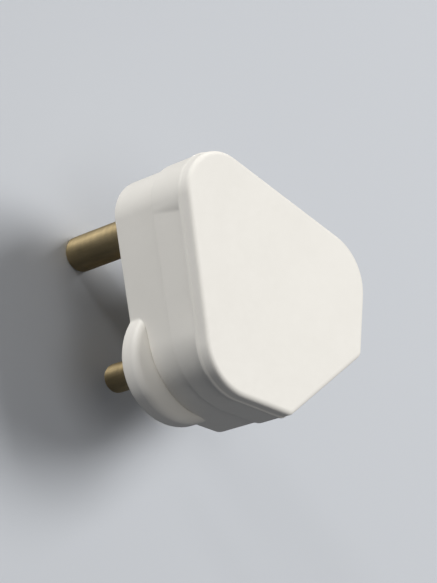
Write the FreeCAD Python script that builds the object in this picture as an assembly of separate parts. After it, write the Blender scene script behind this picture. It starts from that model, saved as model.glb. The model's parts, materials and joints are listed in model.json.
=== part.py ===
import FreeCAD, Part
import math
import os

# Rewirable three-pin plug with round brass pins, in millimetres.
# Origin on the engagement face, midway between the line and neutral pins. +Z comes out of the
# cover, +Y points to the earth pin, the cord leaves at -Y and the pins stand along -Z.

# Outline of the cover's lip: five circles joined by their outer tangents
APEX_CENTRE_Y = 30.4
APEX_RADIUS = 10.2
SHOULDER_CENTRE_X = 13.1
SHOULDER_CENTRE_Y = -1.2
SHOULDER_RADIUS = 13.9
CORNER_CENTRE_X = 12.7
CORNER_CENTRE_Y = -18.5
CORNER_RADIUS = 2.6
INNER_CORNER_RADIUS = 0.6

# The walls below the lip run along the same tangents, with softer shoulders and corners
WALL_SHOULDER_RADIUS = 15.5
WALL_CORNER_RADIUS = 5.0

# Moulded shells
PARTING_HEIGHT = 14.7
FACE_HEIGHT = 27.6
FACE_HEIGHT_AT_Y = 10.0
FACE_TILT_DEG = 2.5
FACE_EDGE_RADIUS = 1.5
LIP_HEIGHT = 3.9
LIP_OVERHANG = 0.15
BASE_STEP = 0.7
BASE_EDGE_CHAMFER = 0.6
PARTING_CHAMFER = 0.2
FLOOR = 4.0
BASE_WALL = 2.5
COVER_WALL = 2.8
COVER_ROOF = 3.0

# Tongue round the base that locates the cover
TONGUE_HEIGHT = 1.5
TONGUE_THICKNESS = 1.0
TONGUE_CLEARANCE = 0.15

# Finger grips: flats in the cover's sides that sink in towards the lip, with a ramp at the apex end
GRIP_DEPTH_AT_PARTING = 0.1
GRIP_DEPTH_AT_LIP = 0.4
GRIP_RAMP_START = 0.8
GRIP_RAMP_DEG = 11.0

# Finger guards: round flanges at the shoulders of the base
GUARD_CENTRE_X = 15.2
GUARD_CENTRE_Y = -0.2
GUARD_RADIUS = 14.9
GUARD_RIM_HEIGHT = 4.8
GUARD_TOP_HEIGHT = 6.9
GUARD_SLOPE_DEG = 20.0
GUARD_EDGE_RADIUS = 1.4

# Pins, turned with a larger drilled head that stands on the floor of the base
PIN_SPACING = 25.4
EARTH_PIN_Y = 28.575
EARTH_PIN_DIAMETER = 8.71
EARTH_PIN_LENGTH = 28.6
LINE_PIN_DIAMETER = 7.06
LINE_PIN_LENGTH = 25.2
PIN_TIP_CHAMFER = 0.8
PIN_TIP_LENGTH = 1.1
PIN_COLLAR_WIDTH = 0.8
PIN_HOLE_CLEARANCE = 0.05
EARTH_HEAD_DIAMETER = 12.0
LINE_HEAD_DIAMETER = 10.5
HEAD_FLAT_DEPTH = 0.6
CONDUCTOR_HOLE_DIAMETER = 4.2
CONDUCTOR_HOLE_ABOVE_FLOOR = 4.0
SEAT_WALL = 1.3
SEAT_HEIGHT = 1.8
SEAT_CLEARANCE = 0.15
HOLD_DOWN_DIAMETER = 10.0
HOLD_DOWN_BORE = 6.4

# Screws
THREAD_CLEARANCE = 0.05
SLOT_WIDTH = 0.9
SLOT_DEPTH = 0.9
TERMINAL_SCREW_DIAMETER = 3.9
TERMINAL_SCREW_HEAD_DIAMETER = 6.0
TERMINAL_SCREW_HEAD_HEIGHT = 2.0
COVER_SCREW_Y = 11.0
COVER_SCREW_DIAMETER = 3.9
COVER_SCREW_HEAD_DIAMETER = 6.8
COVER_SCREW_HEAD_HEIGHT = 2.6
COVER_SCREW_RECESS = 4.0
COVER_SCREW_REACH = 6.0
COVER_SCREW_CLEARANCE = 0.2
COVER_SCREW_POST_DIAMETER = 10.0
WASHER_DIAMETER = 7.2
WASHER_THICKNESS = 0.8
WASHER_POCKET_DEPTH = 1.2
NUT_DIAMETER = 6.4
NUT_LENGTH = 7.0

# Cord entry and grip
CORD_ENTRY_DIAMETER = 9.5
GRIP_BAR_Y = -13.5
GRIP_SCREW_SPACING = 19.0
GRIP_POST_DIAMETER = 6.4
GRIP_BAR_WIDTH = 6.8
GRIP_BAR_THICKNESS = 2.8
GRIP_RIDGE_WIDTH = 2.0
GRIP_RIDGE_HEIGHT = 0.9
GRIP_SCREW_DIAMETER = 2.9
GRIP_SCREW_HEAD_DIAMETER = 5.2
GRIP_SCREW_HEAD_HEIGHT = 1.9
GRIP_SCREW_BITE = 9.0
GRIP_HOLE_CLEARANCE = 0.2
GRIP_ROOF_CLEARANCE = 1.2
SADDLE_WIDTH = 10.0
SADDLE_LENGTH = 4.0
SADDLE_BELOW_BAR = 3.9

# A length that is certain to pass right through the plug
THROUGH = 4 * (APEX_CENTRE_Y + APEX_RADIUS + FACE_HEIGHT)

UP = FreeCAD.Vector(0, 0, 1)
PIN_PLACES = {
    "earth": (0.0, EARTH_PIN_Y),
    "line": (PIN_SPACING / 2, 0.0),
    "neutral": (-PIN_SPACING / 2, 0.0),
}
PIN_SIZES = {
    "earth": (EARTH_PIN_DIAMETER, EARTH_PIN_LENGTH, EARTH_HEAD_DIAMETER),
    "line": (LINE_PIN_DIAMETER, LINE_PIN_LENGTH, LINE_HEAD_DIAMETER),
    "neutral": (LINE_PIN_DIAMETER, LINE_PIN_LENGTH, LINE_HEAD_DIAMETER),
}


def tangent_normal(first, second):
    """Outward normal of the outer tangent from one circle to the next, going anticlockwise."""
    dx = second[0] - first[0]
    dy = second[1] - first[1]
    length = math.hypot(dx, dy)
    along = (first[2] - second[2]) / length
    across = math.sqrt(1 - along * along)
    return FreeCAD.Vector((along * dx + across * dy) / length, (along * dy - across * dx) / length, 0)


def outline_circles(shoulder_radius, corner_radius, inset):
    """An outline's circles (x, y, radius), anticlockwise from the apex, drawn in by inset.

    The lip's circles set the tangents. A shoulder or a corner of another radius slides along its
    two tangents, so every outline keeps the same straight sides.
    """
    lip = [
        (0.0, APEX_CENTRE_Y, APEX_RADIUS),
        (-SHOULDER_CENTRE_X, SHOULDER_CENTRE_Y, SHOULDER_RADIUS),
        (-CORNER_CENTRE_X, CORNER_CENTRE_Y, CORNER_RADIUS),
        (CORNER_CENTRE_X, CORNER_CENTRE_Y, CORNER_RADIUS),
        (SHOULDER_CENTRE_X, SHOULDER_CENTRE_Y, SHOULDER_RADIUS),
    ]
    radii = [APEX_RADIUS, shoulder_radius, corner_radius, corner_radius, shoulder_radius]
    count = len(lip)
    normals = [tangent_normal(lip[k], lip[(k + 1) % count]) for k in range(count)]
    circles = []
    for k, (x, y, lip_radius) in enumerate(lip):
        radius = max(radii[k] - inset, INNER_CORNER_RADIUS)
        shift = (radius + inset - lip_radius) / (1 + normals[k - 1].dot(normals[k]))
        across = normals[k - 1] + normals[k]
        circles.append((x - shift * across.x, y - shift * across.y, radius))
    return circles


def lip_circles():
    """The circles of the lip's outline."""
    return outline_circles(SHOULDER_RADIUS, CORNER_RADIUS, 0.0)


def wall_circles(inset):
    """The circles of the walls' outline, drawn in from the lip's sides by inset."""
    return outline_circles(WALL_SHOULDER_RADIUS, WALL_CORNER_RADIUS, inset)


def outline_wire(circles, z):
    """Closed wire round an outline's circles at height z."""
    count = len(circles)
    normals = [tangent_normal(circles[k], circles[(k + 1) % count]) for k in range(count)]
    edges = []
    for k, (x, y, radius) in enumerate(circles):
        centre = FreeCAD.Vector(x, y, z)
        middle = (normals[k - 1] + normals[k]).normalize()
        start = centre + normals[k - 1] * radius
        finish = centre + normals[k] * radius
        edges.append(Part.Arc(start, centre + middle * radius, finish).toShape())
        next_x, next_y, next_radius = circles[(k + 1) % count]
        line_end = FreeCAD.Vector(next_x, next_y, z) + normals[k] * next_radius
        edges.append(Part.LineSegment(finish, line_end).toShape())
    return Part.Wire(edges)


def outline_solid(inset, low, high):
    """Upright solid of the walls' outline between two heights."""
    return Part.Face(outline_wire(wall_circles(inset), low)).extrude(UP * (high - low))


def cylinder(diameter, x, y, low, high):
    """Upright cylinder between two heights."""
    return Part.makeCylinder(diameter / 2, high - low, FreeCAD.Vector(x, y, low), UP)


def box(x_low, x_high, y_low, y_high, z_low, z_high):
    """Box between two corners."""
    corner = FreeCAD.Vector(x_low, y_low, z_low)
    return Part.makeBox(x_high - x_low, y_high - y_low, z_high - z_low, corner)


def face_height(y):
    """Height of the cover's face at a distance along the plug."""
    return FACE_HEIGHT + (y - FACE_HEIGHT_AT_Y) * math.tan(math.radians(FACE_TILT_DEG))


def grip_seat_height():
    """Top of the cord grip's posts: the bar and its screws' heads fit under the cover's roof."""
    roof = face_height(GRIP_BAR_Y - GRIP_SCREW_HEAD_DIAMETER / 2)
    roof -= COVER_ROOF / math.cos(math.radians(FACE_TILT_DEG))
    return roof - GRIP_ROOF_CLEARANCE - GRIP_SCREW_HEAD_HEIGHT - GRIP_BAR_THICKNESS


def under_face(depth):
    """Everything that lies deeper than depth below the plane of the cover's face."""
    half = THROUGH / 2
    top = FACE_HEIGHT - depth
    block = box(-half, half, FACE_HEIGHT_AT_Y - half, FACE_HEIGHT_AT_Y + half, top - THROUGH, top)
    block.rotate(FreeCAD.Vector(0, FACE_HEIGHT_AT_Y, top), FreeCAD.Vector(1, 0, 0), FACE_TILT_DEG)
    return block


def lies_at_height(edge, z):
    """Whether an edge lies in the level plane at height z."""
    return all(abs(point.z - z) < 1e-4 for point in edge.discretize(3))


def parting_edges(shape):
    """The edges of a shape that lie in the parting plane."""
    return [edge for edge in shape.Edges if lies_at_height(edge, PARTING_HEIGHT)]


def slotted(screw, x, y, diameter, slot_low, slot_high):
    """A screw with a straight driver slot across its head."""
    half_length = diameter
    half_width = SLOT_WIDTH / 2
    slot = box(x - half_length, x + half_length, y - half_width, y + half_width, slot_low, slot_high)
    return screw.cut(slot)


def finger_grip(side):
    """What one finger grip takes off the cover's side: a tilted flat with a ramp towards the apex."""
    apex, shoulder = wall_circles(LIP_OVERHANG)[:2]
    outward = tangent_normal(apex, shoulder)
    along = FreeCAD.Vector(-outward.y, outward.x, 0)
    start = FreeCAD.Vector(apex[0], apex[1], PARTING_HEIGHT) + outward * apex[2]
    length = math.hypot(shoulder[0] - apex[0], shoulder[1] - apex[1]) + shoulder[2]
    rise = face_height(SHOULDER_CENTRE_Y) - LIP_HEIGHT - PARTING_HEIGHT
    height = 2 * rise
    top_depth = GRIP_DEPTH_AT_PARTING + (GRIP_DEPTH_AT_LIP - GRIP_DEPTH_AT_PARTING) * height / rise
    ramp = math.tan(math.radians(GRIP_RAMP_DEG))
    reach = top_depth

    section = [(-GRIP_DEPTH_AT_PARTING, 0), (-top_depth, height), (reach, height), (reach, 0)]
    points = [start - along * length + outward * across + UP * up for across, up in section + section[:1]]
    flat = Part.Face(Part.makePolygon(points)).extrude(along * 2 * length)
    plan = [
        (GRIP_RAMP_START + top_depth / ramp, -top_depth),
        (length, -top_depth),
        (length, reach),
        (GRIP_RAMP_START - reach / ramp, reach),
    ]
    points = [start + along * travel + outward * across for travel, across in plan + plan[:1]]
    zone = Part.Face(Part.makePolygon(points)).extrude(UP * height)
    grip = flat.common(zone).common(under_face(LIP_HEIGHT))
    if side > 0:
        grip = grip.mirror(FreeCAD.Vector(0, 0, 0), FreeCAD.Vector(1, 0, 0))
    return grip


def lip_plate():
    """Face of the cover with its lip, drawn square to the tilted face and rounded along the edge."""
    low = FACE_HEIGHT - LIP_HEIGHT
    plate = Part.Face(outline_wire(lip_circles(), low)).extrude(UP * LIP_HEIGHT)
    upper = [edge for edge in plate.Edges if lies_at_height(edge, FACE_HEIGHT)]
    plate = plate.makeFillet(FACE_EDGE_RADIUS, upper)
    middle = FreeCAD.Vector(0, FACE_HEIGHT_AT_Y, FACE_HEIGHT - LIP_HEIGHT / 2)
    plate.rotate(middle, FreeCAD.Vector(1, 0, 0), FACE_TILT_DEG)
    return plate


def cover_skin():
    """Outside of the cover: the lipped face on walls with finger grips."""
    walls = outline_solid(LIP_OVERHANG, PARTING_HEIGHT, THROUGH).common(under_face(LIP_HEIGHT / 2))
    walls = walls.cut([finger_grip(-1), finger_grip(1)])
    walls = walls.makeChamfer(PARTING_CHAMFER, parting_edges(walls))
    return walls.fuse(lip_plate())


def build_cover():
    """Cover: a moulded shell with posts that hold the pins down and a boss for the screw's nut."""
    skin = cover_skin()
    cavity_inset = LIP_OVERHANG + GRIP_DEPTH_AT_LIP + COVER_WALL
    cavity = outline_solid(cavity_inset, PARTING_HEIGHT, THROUGH).common(under_face(COVER_ROOF))
    rebate_inset = BASE_STEP + BASE_WALL - TONGUE_THICKNESS - TONGUE_CLEARANCE
    rebate_top = PARTING_HEIGHT + TONGUE_HEIGHT + TONGUE_CLEARANCE
    posts = [cylinder(HOLD_DOWN_DIAMETER, x, y, PARTING_HEIGHT, THROUGH) for x, y in PIN_PLACES.values()]
    posts.append(cylinder(COVER_SCREW_POST_DIAMETER, 0, COVER_SCREW_Y, PARTING_HEIGHT, THROUGH))
    bores = [cylinder(HOLD_DOWN_BORE, x, y, PARTING_HEIGHT, THROUGH) for x, y in PIN_PLACES.values()]
    nut_pocket = cylinder(
        NUT_DIAMETER + 2 * THREAD_CLEARANCE, 0, COVER_SCREW_Y, PARTING_HEIGHT, PARTING_HEIGHT + NUT_LENGTH
    )
    cover = skin.cut(cavity)
    cover = cover.cut(outline_solid(rebate_inset, PARTING_HEIGHT, rebate_top))
    cover = cover.fuse([post.common(skin) for post in posts])
    cover = cover.cut([bore.common(cavity) for bore in bores] + [nut_pocket, cord_entry()])
    return cover.removeSplitter()


def cord_entry():
    """Round way in for the cord, half in the base and half in the cover."""
    start = FreeCAD.Vector(0, GRIP_BAR_Y, PARTING_HEIGHT)
    return Part.makeCylinder(CORD_ENTRY_DIAMETER / 2, THROUGH, start, FreeCAD.Vector(0, -1, 0))


def finger_guard(side):
    """Round flange at one shoulder, with a rounded rim and a top that rises towards the wall."""
    rise = GUARD_TOP_HEIGHT - GUARD_RIM_HEIGHT
    top_radius = GUARD_RADIUS - rise / math.tan(math.radians(GUARD_SLOPE_DEG))
    turn = math.radians(90 - GUARD_SLOPE_DEG)
    bend_height = GUARD_RIM_HEIGHT - GUARD_EDGE_RADIUS * math.tan(turn / 2)

    def on_bend(angle):
        """Point of the rounded rim, from the upright side (0) to the slope."""
        radius = GUARD_RADIUS - GUARD_EDGE_RADIUS + GUARD_EDGE_RADIUS * math.cos(angle)
        return FreeCAD.Vector(radius, 0, bend_height + GUARD_EDGE_RADIUS * math.sin(angle))

    bend = [on_bend(0), on_bend(turn / 2), on_bend(turn)]
    below = [(0, 0), (GUARD_RADIUS - BASE_EDGE_CHAMFER, 0), (GUARD_RADIUS, BASE_EDGE_CHAMFER)]
    above = [(top_radius, GUARD_TOP_HEIGHT), (0, GUARD_TOP_HEIGHT), (0, 0)]
    lower = Part.makePolygon([FreeCAD.Vector(radius, 0, z) for radius, z in below] + bend[:1])
    upper = Part.makePolygon(bend[-1:] + [FreeCAD.Vector(radius, 0, z) for radius, z in above])
    profile = Part.Wire(lower.Edges + [Part.Arc(*bend).toShape()] + upper.Edges)
    flange = Part.Face(profile).revolve(FreeCAD.Vector(0, 0, 0), UP, 360)
    flange.translate(FreeCAD.Vector(side * GUARD_CENTRE_X, GUARD_CENTRE_Y, 0))
    return flange


def pin_head(pin, grow, low, high):
    """A pin's head between two heights: round, with flats round the conductor hole that stop it turning."""
    x, y = PIN_PLACES[pin]
    diameter = PIN_SIZES[pin][2] + 2 * grow
    return cylinder(diameter, x, y, low, high).common(pin_pad(pin, grow, low, high))


def pin_pad(pin, grow, low, high):
    """Block that bounds a pin's head on all four sides, between two heights."""
    x, y = PIN_PLACES[pin]
    half_width = PIN_SIZES[pin][2] / 2 + grow
    half_flat = half_width - HEAD_FLAT_DEPTH
    return box(x - half_width, x + half_width, y - half_flat, y + half_flat, low, high)


def base_skin():
    """Outside of the base, with its rounded lower edge and the two finger guards."""
    skin = outline_solid(BASE_STEP, 0.0, PARTING_HEIGHT)
    lower = [edge for edge in skin.Edges if lies_at_height(edge, 0.0)]
    skin = skin.makeChamfer(BASE_EDGE_CHAMFER, lower)
    return skin.fuse([finger_guard(-1), finger_guard(1)])


def build_base():
    """Base: a moulded tray with seats for the pins, a screw post and the cord grip's posts."""
    cavity_inset = BASE_STEP + BASE_WALL
    tongue_top = PARTING_HEIGHT + TONGUE_HEIGHT
    grip_post_top = grip_seat_height()
    tongue = outline_solid(cavity_inset - TONGUE_THICKNESS, PARTING_HEIGHT, tongue_top)
    cavity = outline_solid(cavity_inset, FLOOR, tongue_top)
    base = base_skin().fuse(tongue).cut(cavity)

    half_saddle = SADDLE_WIDTH / 2
    saddle_low = GRIP_BAR_Y - SADDLE_LENGTH / 2
    saddle_high = GRIP_BAR_Y + SADDLE_LENGTH / 2
    saddle_top = grip_post_top - SADDLE_BELOW_BAR
    saddle = box(-half_saddle, half_saddle, saddle_low, saddle_high, 0, saddle_top)
    groove_end = FreeCAD.Vector(0, saddle_high, PARTING_HEIGHT)
    groove = Part.makeCylinder(CORD_ENTRY_DIAMETER / 2, THROUGH, groove_end, FreeCAD.Vector(0, -1, 0))
    saddle = saddle.common(outline_solid(cavity_inset, FLOOR / 2, tongue_top))
    added = [saddle, cylinder(COVER_SCREW_POST_DIAMETER, 0, COVER_SCREW_Y, FLOOR / 2, PARTING_HEIGHT)]
    for side in (-1, 1):
        post_x = side * GRIP_SCREW_SPACING / 2
        added.append(cylinder(GRIP_POST_DIAMETER, post_x, GRIP_BAR_Y, FLOOR / 2, grip_post_top))
    for pin in PIN_PLACES:
        added.append(pin_pad(pin, SEAT_CLEARANCE + SEAT_WALL, FLOOR / 2, FLOOR + SEAT_HEIGHT))
    base = base.fuse(added)

    removed = [groove]
    for pin, (x, y) in PIN_PLACES.items():
        hole = PIN_SIZES[pin][0] + 2 * PIN_COLLAR_WIDTH + 2 * PIN_HOLE_CLEARANCE
        removed.append(cylinder(hole, x, y, -THROUGH, FLOOR))
        removed.append(pin_head(pin, SEAT_CLEARANCE, FLOOR, PARTING_HEIGHT))
    shank = COVER_SCREW_DIAMETER + 2 * COVER_SCREW_CLEARANCE
    recess = COVER_SCREW_HEAD_DIAMETER + 2 * COVER_SCREW_CLEARANCE
    pocket = WASHER_DIAMETER + 2 * COVER_SCREW_CLEARANCE
    pocket_floor = PARTING_HEIGHT - WASHER_POCKET_DEPTH
    removed.append(cylinder(shank, 0, COVER_SCREW_Y, 0, PARTING_HEIGHT))
    removed.append(cylinder(recess, 0, COVER_SCREW_Y, -FLOOR, COVER_SCREW_RECESS))
    removed.append(cylinder(pocket, 0, COVER_SCREW_Y, pocket_floor, PARTING_HEIGHT))
    for side in (-1, 1):
        hole = GRIP_SCREW_DIAMETER + 2 * THREAD_CLEARANCE
        hole_floor = grip_post_top - GRIP_SCREW_BITE - GRIP_BAR_THICKNESS
        removed.append(cylinder(hole, side * GRIP_SCREW_SPACING / 2, GRIP_BAR_Y, hole_floor, grip_post_top))
    return base.cut(removed).removeSplitter()


def build_pin(pin):
    """Turned brass pin: tapered tip, collar in the base, and a head drilled for conductor and screw."""
    x, y = PIN_PLACES[pin]
    diameter, length, head_diameter = PIN_SIZES[pin]
    radius = diameter / 2
    corners = [
        (0, -length),
        (radius - PIN_TIP_CHAMFER, -length),
        (radius, -length + PIN_TIP_LENGTH),
        (radius, 0),
        (radius + PIN_COLLAR_WIDTH, 0),
        (radius + PIN_COLLAR_WIDTH, FLOOR),
        (0, FLOOR),
    ]
    points = [FreeCAD.Vector(x + across, y, z) for across, z in corners + corners[:1]]
    shank = Part.Face(Part.makePolygon(points)).revolve(FreeCAD.Vector(x, y, 0), UP, 360)

    hole_height = FLOOR + CONDUCTOR_HOLE_ABOVE_FLOOR
    hole_start = FreeCAD.Vector(x, y - head_diameter, hole_height)
    conductor_hole = Part.makeCylinder(
        CONDUCTOR_HOLE_DIAMETER / 2, 2 * head_diameter, hole_start, FreeCAD.Vector(0, 1, 0)
    )
    thread = TERMINAL_SCREW_DIAMETER + 2 * THREAD_CLEARANCE
    screw_hole = cylinder(thread, x, y, hole_height, PARTING_HEIGHT)
    return shank.fuse(pin_head(pin, 0.0, FLOOR, PARTING_HEIGHT)).cut([conductor_hole, screw_hole]).removeSplitter()


def build_terminal_screw(pin):
    """Slotted brass screw that clamps the conductor in a pin's head."""
    x, y = PIN_PLACES[pin]
    tip = FLOOR + CONDUCTOR_HOLE_ABOVE_FLOOR + CONDUCTOR_HOLE_DIAMETER / 2
    head_top = PARTING_HEIGHT + TERMINAL_SCREW_HEAD_HEIGHT
    shank = cylinder(TERMINAL_SCREW_DIAMETER, x, y, tip, PARTING_HEIGHT)
    head = cylinder(TERMINAL_SCREW_HEAD_DIAMETER, x, y, PARTING_HEIGHT, head_top)
    screw = shank.fuse(head).removeSplitter()
    return slotted(screw, x, y, TERMINAL_SCREW_HEAD_DIAMETER, head_top - SLOT_DEPTH, head_top)


def build_cover_screw():
    """Long captive screw, sunk in the engagement face, that draws the cover down."""
    head_low = COVER_SCREW_RECESS - COVER_SCREW_HEAD_HEIGHT
    tip = PARTING_HEIGHT + COVER_SCREW_REACH
    shank = cylinder(COVER_SCREW_DIAMETER, 0, COVER_SCREW_Y, COVER_SCREW_RECESS, tip)
    head = cylinder(COVER_SCREW_HEAD_DIAMETER, 0, COVER_SCREW_Y, head_low, COVER_SCREW_RECESS)
    screw = shank.fuse(head).removeSplitter()
    return slotted(screw, 0, COVER_SCREW_Y, COVER_SCREW_HEAD_DIAMETER, head_low, head_low + SLOT_DEPTH)


def build_cover_screw_washer():
    """Fibre washer on the screw's thread that keeps it captive in the base."""
    low = PARTING_HEIGHT - WASHER_POCKET_DEPTH
    high = low + WASHER_THICKNESS
    hole = COVER_SCREW_DIAMETER + 2 * THREAD_CLEARANCE
    return cylinder(WASHER_DIAMETER, 0, COVER_SCREW_Y, low, high).cut(cylinder(hole, 0, COVER_SCREW_Y, low, high))


def build_cover_nut():
    """Brass nut moulded into the cover's boss."""
    high = PARTING_HEIGHT + NUT_LENGTH
    hole = COVER_SCREW_DIAMETER + 2 * THREAD_CLEARANCE
    nut = cylinder(NUT_DIAMETER, 0, COVER_SCREW_Y, PARTING_HEIGHT, high)
    return nut.cut(cylinder(hole, 0, COVER_SCREW_Y, PARTING_HEIGHT, high))


def build_cord_grip_bar():
    """Round-ended bar across the cord, with a ridge below that bites into the sheath."""
    low = grip_seat_height()
    high = low + GRIP_BAR_THICKNESS
    half_length = GRIP_SCREW_SPACING / 2
    half_width = GRIP_BAR_WIDTH / 2
    bar = box(-half_length, half_length, GRIP_BAR_Y - half_width, GRIP_BAR_Y + half_width, low, high)
    half_ridge = GRIP_RIDGE_WIDTH / 2
    ridge_length = half_length - GRIP_POST_DIAMETER / 2 - GRIP_HOLE_CLEARANCE
    ridge = box(
        -ridge_length, ridge_length,
        GRIP_BAR_Y - half_ridge, GRIP_BAR_Y + half_ridge,
        low - GRIP_RIDGE_HEIGHT, low,
    )
    ends = [cylinder(GRIP_BAR_WIDTH, side * half_length, GRIP_BAR_Y, low, high) for side in (-1, 1)]
    hole = GRIP_SCREW_DIAMETER + 2 * GRIP_HOLE_CLEARANCE
    holes = [cylinder(hole, side * half_length, GRIP_BAR_Y, low, high) for side in (-1, 1)]
    return bar.fuse(ends + [ridge]).cut(holes).removeSplitter()


def build_cord_grip_screw(side):
    """Slotted screw that pulls the cord grip bar down on to its post."""
    x = side * GRIP_SCREW_SPACING / 2
    seat = grip_seat_height() + GRIP_BAR_THICKNESS
    head_top = seat + GRIP_SCREW_HEAD_HEIGHT
    tip = grip_seat_height() - GRIP_SCREW_BITE
    shank = cylinder(GRIP_SCREW_DIAMETER, x, GRIP_BAR_Y, tip, seat)
    head = cylinder(GRIP_SCREW_HEAD_DIAMETER, x, GRIP_BAR_Y, seat, head_top)
    screw = shank.fuse(head).removeSplitter()
    return slotted(screw, x, GRIP_BAR_Y, GRIP_SCREW_HEAD_DIAMETER, head_top - SLOT_DEPTH, head_top)


def main():
    """Build every piece of the plug and write one file for each."""
    os.makedirs("parts", exist_ok=True)
    pieces = {
        "base": build_base(),
        "cover": build_cover(),
        "cover_screw": build_cover_screw(),
        "cover_screw_washer": build_cover_screw_washer(),
        "cover_nut": build_cover_nut(),
        "cord_grip_bar": build_cord_grip_bar(),
        "cord_grip_screw_left": build_cord_grip_screw(-1),
        "cord_grip_screw_right": build_cord_grip_screw(1),
    }
    for pin in PIN_PLACES:
        pieces[pin + "_pin"] = build_pin(pin)
        pieces[pin + "_terminal_screw"] = build_terminal_screw(pin)
    for name, shape in pieces.items():
        print(name, "solids", len(shape.Solids), "valid", shape.isValid(), "mm3", round(shape.Volume, 1))
        shape.exportStep("parts/" + name + ".step")


main()
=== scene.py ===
"""Look of a rewirable three-pin plug with round brass pins.

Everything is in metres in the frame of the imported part: the origin lies on the engagement face,
+Z comes out of the cover, +Y points to the earth pin and the pins stand along -Z. Shapes are numpy
surfaces, and every finish is a node material on Object coordinates.
"""

import json
import logging
import math
from dataclasses import dataclass
from enum import Enum

import bmesh
import bpy
import numpy as np
from mathutils import Matrix, Vector

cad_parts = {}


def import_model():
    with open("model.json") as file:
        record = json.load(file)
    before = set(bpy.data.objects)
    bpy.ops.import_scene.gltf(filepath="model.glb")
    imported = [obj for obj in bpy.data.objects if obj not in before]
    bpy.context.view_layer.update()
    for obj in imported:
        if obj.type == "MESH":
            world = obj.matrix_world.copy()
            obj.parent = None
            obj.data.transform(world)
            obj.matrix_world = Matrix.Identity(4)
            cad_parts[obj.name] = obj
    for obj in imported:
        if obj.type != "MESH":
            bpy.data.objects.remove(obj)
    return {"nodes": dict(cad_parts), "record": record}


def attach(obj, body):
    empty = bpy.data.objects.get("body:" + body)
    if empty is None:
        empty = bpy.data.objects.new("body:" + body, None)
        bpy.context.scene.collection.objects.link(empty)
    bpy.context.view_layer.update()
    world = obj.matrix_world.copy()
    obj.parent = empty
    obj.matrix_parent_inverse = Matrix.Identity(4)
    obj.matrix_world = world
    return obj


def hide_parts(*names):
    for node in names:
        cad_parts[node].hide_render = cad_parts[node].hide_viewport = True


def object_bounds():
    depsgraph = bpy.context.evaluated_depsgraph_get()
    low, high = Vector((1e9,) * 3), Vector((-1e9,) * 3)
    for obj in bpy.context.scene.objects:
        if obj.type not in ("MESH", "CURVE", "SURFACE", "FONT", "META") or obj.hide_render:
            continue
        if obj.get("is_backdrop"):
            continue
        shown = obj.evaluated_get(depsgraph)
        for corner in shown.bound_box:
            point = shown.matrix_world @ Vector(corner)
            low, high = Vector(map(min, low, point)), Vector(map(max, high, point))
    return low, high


LOG = logging.getLogger("plug")
BODY = "root"
MM = 0.001
# Edges shorter than this many metres are left over from a Boolean and are closed up.
SLIVER = 1e-6
# How far a cutter reaches past the face that it opens, in millimetres.
OVERCUT = 1.0
SHARP_ANGLE = math.radians(32)
Triple = tuple[float, float, float]
Colour = Triple
Points = np.ndarray


class Slot(Enum):
    """The record's material slots."""

    MOULDING = "moulding"
    BRASS = "brass"
    STEEL = "screw_steel"
    FIBRE = "fibre"


@dataclass(frozen=True)
class PinPlace:
    """Where a pin stands and how large it is, in millimetres."""

    name: str
    x: float
    y: float
    diameter: float
    length: float
    head: float


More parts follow.
